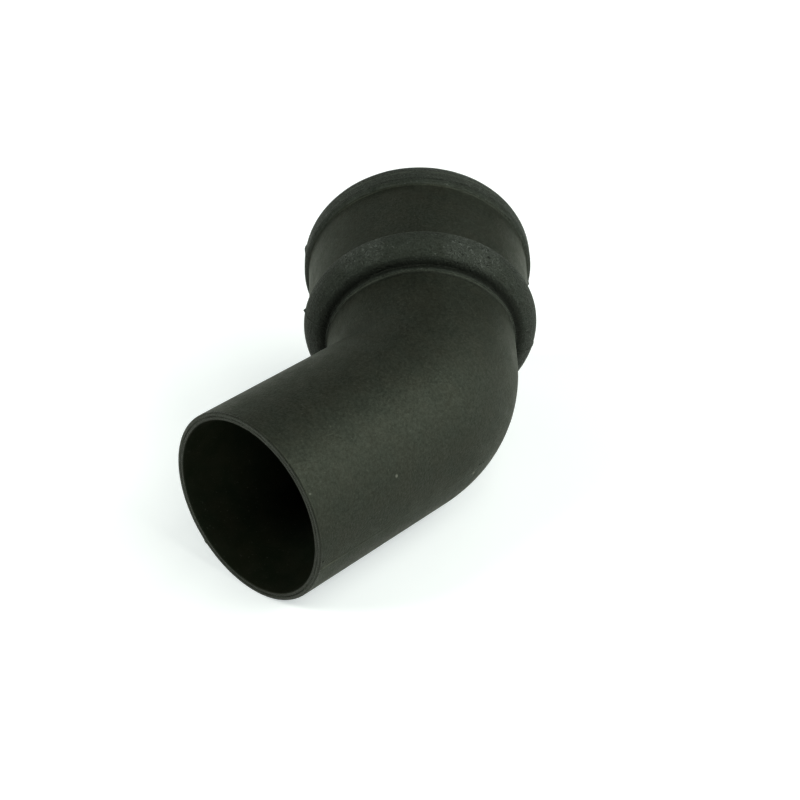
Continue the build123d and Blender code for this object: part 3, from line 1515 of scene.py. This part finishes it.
@dataclass(frozen=True)
class Studio:
    """The camera, the white ground and the soft light, in metres and degrees.

    Attributes:
        camera_at: Where the camera stands.
        azimuth: Its direction, from +Y towards -X.
        elevation: How far it looks down.
        roll: How far its picture leans.
        lens: Its focal length in millimetres.
        lamp_distance: How far the lamps stand from their aim.
        aim: The point that they face.
        ground_half: Half the ground's side.
        ground_tone: How pale the ground is.
        glow: How much the ground near the bend adds to what the camera sees.
        glow_reach: How far from the origin that starts to rise, and where it is full white.
        glow_tint: The colour of that addition.
        lamps: The lamps.
    """

    camera_at: Vector = Vector((0.40214, -0.40676, 0.36579))
    azimuth: float = 43.673
    elevation: float = 30.886
    roll: float = -1.779
    lens: float = 81.263
    lamp_distance: float = 1.3
    aim: Vector = Vector((0.0, 0.0, 0.04))
    ground_half: float = 8.0
    ground_tone: float = 0.85
    glow: float = 0.345
    glow_reach: Point = (0.4, 1.1)
    glow_tint: Colour = (0.94, 1.0, 1.06)
    lamps: tuple[Softbox, ...] = ()

    def place_camera(self) -> bpy.types.Object:
        """Puts the camera at the photograph's viewpoint.

        Returns:
            The camera.
        """
        azimuth, elevation, roll = radians(self.azimuth), radians(self.elevation), radians(self.roll)
        level = Vector((cos(azimuth), sin(azimuth), 0.0))
        ahead = Vector((-sin(azimuth) * cos(elevation), cos(azimuth) * cos(elevation), -sin(elevation)))
        upright = level.cross(ahead)
        right = level * cos(roll) + upright * sin(roll)
        up = right.cross(ahead)
        camera = bpy.data.objects.new("camera", bpy.data.cameras.new("camera"))
        pose = Matrix((right, up, -ahead)).transposed().to_4x4()
        pose.translation = self.camera_at
        camera.matrix_world = pose
        camera.data.lens = self.lens
        bpy.context.scene.collection.objects.link(camera)
        bpy.context.scene.camera = camera
        return camera

    def ground_material(self) -> bpy.types.Material:
        """Makes the white ground, which the camera sees as white where no shadow falls.

        Returns:
            The material.
        """
        material = bpy.data.materials.new("white ground")
        material.use_nodes = True
        material.node_tree.nodes.clear()
        wiring = Wiring(material.node_tree)
        paper = wiring.add("ShaderNodeBsdfDiffuse", {"Color": (self.ground_tone,) * 3 + (1.0,)})
        place = wiring.add("ShaderNodeTexCoord").outputs["Object"]
        strength = wiring.grade(wiring.measure("LENGTH", place), self.glow_reach, (self.glow, 1.0))
        glow = wiring.add("ShaderNodeEmission", {"Color": (*self.glow_tint, 1.0), "Strength": strength})
        both = wiring.add("ShaderNodeAddShader", {0: paper.outputs[0], 1: glow.outputs[0]})
        camera = wiring.add("ShaderNodeLightPath").outputs[CAMERA_RAY]
        mixed = wiring.add("ShaderNodeMixShader", {0: camera, 1: paper.outputs[0], 2: both.outputs[0]})
        wiring.add("ShaderNodeOutputMaterial", {"Surface": mixed.outputs[0]})
        return material

    def lay_ground(self) -> bpy.types.Object:
        """Lays the ground that the bend rests on.

        Returns:
            The ground.
        """
        half = self.ground_half
        level = min(CAD_BOX[0].z, 0.0)
        corners = [(-half, -half, level), (half, -half, level), (half, half, level), (-half, half, level)]
        mesh = bpy.data.meshes.new("ground")
        mesh.from_pydata(corners, [], [(0, 1, 2, 3)])
        mesh.materials.append(self.ground_material())
        ground = bpy.data.objects.new("ground", mesh)
        bpy.context.scene.collection.objects.link(ground)
        return ground

    def light_world(self) -> bpy.types.World:
        """Makes the surroundings: white to the camera and dark to everything else.

        Returns:
            The world.
        """
        world = bpy.data.worlds.new("surroundings")
        world.use_nodes = True
        wiring = Wiring(world.node_tree)
        background = world.node_tree.nodes["Background"]
        background.inputs["Color"].default_value = (1.0, 1.0, 1.0, 1.0)
        camera = wiring.add("ShaderNodeLightPath").outputs[CAMERA_RAY]
        wiring.feed(background.inputs["Strength"], camera)
        bpy.context.scene.world = world
        return world

    def build(self) -> None:
        """Sets the whole studio up."""
        bpy.context.scene.view_settings.view_transform = "Standard"
        self.place_camera()
        self.lay_ground()
        self.light_world()
        for lamp in self.lamps:
            lamp.place(self.aim, self.lamp_distance)


def lamps() -> tuple[Softbox, ...]:
    """Chooses the studio's lamps.

    Returns:
        The lamps, in order of their bearing.
    """
    return (
        Softbox("key", 0, 37, 4.1),
        Softbox("key high", 0, 62, 2.6),
        Softbox("key beside low", 30, 12, 3.0),
        Softbox("key beside", 30, 37, 5.0),
        Softbox("side low", 60, 12, 1.7),
        Softbox("side", 60, 37, 2.3),
        Softbox("side high", 90, 62, 1.2),
        Softbox("back low", 120, 12, 1.2),
        Softbox("back beside low", 150, 12, 0.6),
        Softbox("back beside", 150, 37, 0.9),
        Softbox("left low", 180, 12, 0.9),
        Softbox("fill", 240, 37, 10.7),
        Softbox("front low", 330, 12, 6.1),
    )


def nibs(line: Centreline) -> tuple[Nib, ...]:
    """Places the tags of flash on the two bands and at the spigot's end.

    Args:
        line: The bend's centreline.

    Returns:
        The nibs.
    """
    return (
        Nib(line.place(line.rear_crown_at), 180.0, 0.45, 0.8, 0.5),
        Nib(line.place(80.2), 180.0, 0.3, 2.5, 0.5),
        Nib(line.place(76.2), 1.0, 0.6, 0.6, 0.5),
        Nib(line.spigot_end + 0.6, 243.0, 0.45, 0.6, 0.7),
    )


def finishes(line: Centreline, effects: Effects) -> dict[Area, bpy.types.Material]:
    """Makes the materials of the moulding's areas.

    Args:
        line: The bend's centreline, which places the marks.
        effects: The shared node groups.

    Returns:
        The material of each area.
    """

    def at(place: float, angle: float, radius: float) -> Vector:
        """Finds a point on a ring.

        Args:
            place: Distance from the start of the turn.
            angle: Angle round the pipe in degrees, 0 on the outer side and 90 on the upper side.
            radius: Radius of the ring.

        Returns:
            The point.
        """
        station = line.station(place)
        swing = radians(angle)
        return station.centre + (station.outer * cos(swing) + station.upper * sin(swing)) * radius

    pale = (0.16, 0.165, 0.14)
    # Pale colour of the painted highlights along edges.
    wear_and_highlight = (0.04, 0.045, 0.037)
    dark = (0.003, 0.0035, 0.003)
    deep, light = (0.0054, 0.0066, 0.0044), (0.0116, 0.0138, 0.0104)
    pipe = Plastic(
        "charcoal pipe",
        deep,
        light,
        dust=(0.12, 0.125, 0.1),
        specular=0.32,
        flecks=0.15,
        hollow_dull=0.45,
        parting=0.4,
        # Painted shade: a darker band on the pipe just in front of the ledge, where the rear band shades it.
        hoops=(Hoop(31.7, 1.3, dark, 0.6, edge=1.0, broken=1.0),),
        blemishes=(
            Blemish(at(-32.2, 30.5, 34.0), 0.7, pale, 0.6),
            Blemish(at(4.0, 358.0, 34.1), 0.8, pale, 0.7),
            Blemish(at(-67.5, 47.5, 34.0), 0.5, pale, 0.35),
            Blemish(at(-67.6, 5.5, 34.0), 0.55, dark, dull=1.0),
            Blemish(at(5.4, 2.2, 34.1), 0.6, dark, dent=1.0, dull=0.9),
            Blemish(at(6.1, 1.6, 34.1), 0.5, dark, dent=1.0, dull=0.9),
            Blemish(at(6.9, 1.1, 34.1), 0.55, dark, dent=1.0, dull=0.9),
            Blemish(at(10.6, 358.6, 34.2), 0.4, dark, dull=0.7),
            Blemish(at(11.6, 358.2, 34.2), 0.4, dark, dull=0.7),
            Blemish(at(-30.7, 74.0, 34.0), 4.0, deep, 0.5),
        ),
    )
    band = Plastic(
        "charcoal band",
        (0.0, 0.0005, 0.0),
        (0.0242, 0.0288, 0.0248),
        dust=(0.092, 0.1, 0.092),
        cast=0.1,
        roughness=(0.62, 0.46),
        patch=0.2,
        relief=0.00036,
        flecks=0.6,
        streaks=0.6,
        hoops=(
            # Painted shade: darkens the crease between the ledge and the rear band and swallows its light.
            Hoop(34.7, 1.3, dark, 1.0, edge=0.9, broken=1.0, dull=0.45),
            # Painted highlights: light lines along the ledge's edge, the mouth band's crown, its top beside
            # the groove, its foot and the rear band's crown. The dark line at 76.2 is a groove.
            Hoop(32.75, 0.35, wear_and_highlight, 0.5),
            Hoop(line.mouth_crown_at - 0.2, 0.55, wear_and_highlight, 0.9, broken=0.4),
            Hoop(76.2, 0.35, dark, 0.9, groove=0.4, dull=0.5),
            Hoop(77.6, 0.4, wear_and_highlight, 0.35, broken=0.0),
            Hoop(74.7, 0.3, wear_and_highlight, 0.4),
            Hoop(line.rear_crown_at + 0.6, 0.4, wear_and_highlight, 0.4),
        ),
        scuffs=(
            Scuff(at(line.place(41.5), 137.0, 43.2), 6.5),
            Scuff(at(line.place(41.0), 127.0, 43.0), 7.0),
            Scuff(at(line.place(39.5), 80.0, 42.3), 8.0),
            Scuff(at(line.place(38.8), 68.0, 41.8), 8.5),
        ),
    )
    rim = Plastic(
        "charcoal rim",
        (0.003, 0.004, 0.0025),
        (0.022, 0.024, 0.019),
        roughness=(0.42, 0.3),
        pebble=2.2,
        patch=0.3,
        flecks=0.3,
        streaks=1.5,
        on_rim=True,
        hoops=(
            # Painted highlights: light lines along the rim's inner edge and, at 33.15, along the edge of its
            # outer bevel. The dark line at 32.5 is a groove.
            Hoop(31.5, 0.25, wear_and_highlight, 0.5),
            Hoop(32.5, 0.3, dark, 1.0, edge=0.15, broken=0.4, groove=0.3, dull=0.6),
            Hoop(33.15, 0.25, wear_and_highlight, 0.9, broken=0.5),
            # Painted shade on the rim's outer bevel.
            Hoop(33.75, 0.2, dark, 0.9, edge=0.15, broken=0.3, dull=0.4),
        ),
    )
    # Painted shade: the inside is the same plastic, given darker colours and weaker reflections for the
    # shade in the bore.
    waterway = Plastic(
        "charcoal waterway in painted shade",
        (0.0032, 0.0052, 0.0024),
        (0.0045, 0.0068, 0.0034),
        specular=0.14,
        relief=0.00006,
    )
    made = {Area.PIPE: pipe, Area.BAND: band, Area.RIM: rim, Area.WATERWAY: waterway}
    return {area: plastic.material(effects) for area, plastic in made.items()}


def main() -> None:
    """Builds the bend and its studio, and reports each piece."""
    logging.basicConfig(level=logging.INFO, format="%(name)s: %(message)s")
    line = Centreline()
    bend = OffsetBend(Profile(line), Flash(), CastSkin(), nibs(line))
    piece = bend.build(finishes(line, Effects(line)))
    log.info("%s: %d faces", piece.name, len(piece.data.polygons))
    studio = Studio(lamps=lamps())
    studio.build()
    log.info("studio: camera, ground and %d lamps", len(studio.lamps))


if __name__ == "__main__":
    main()
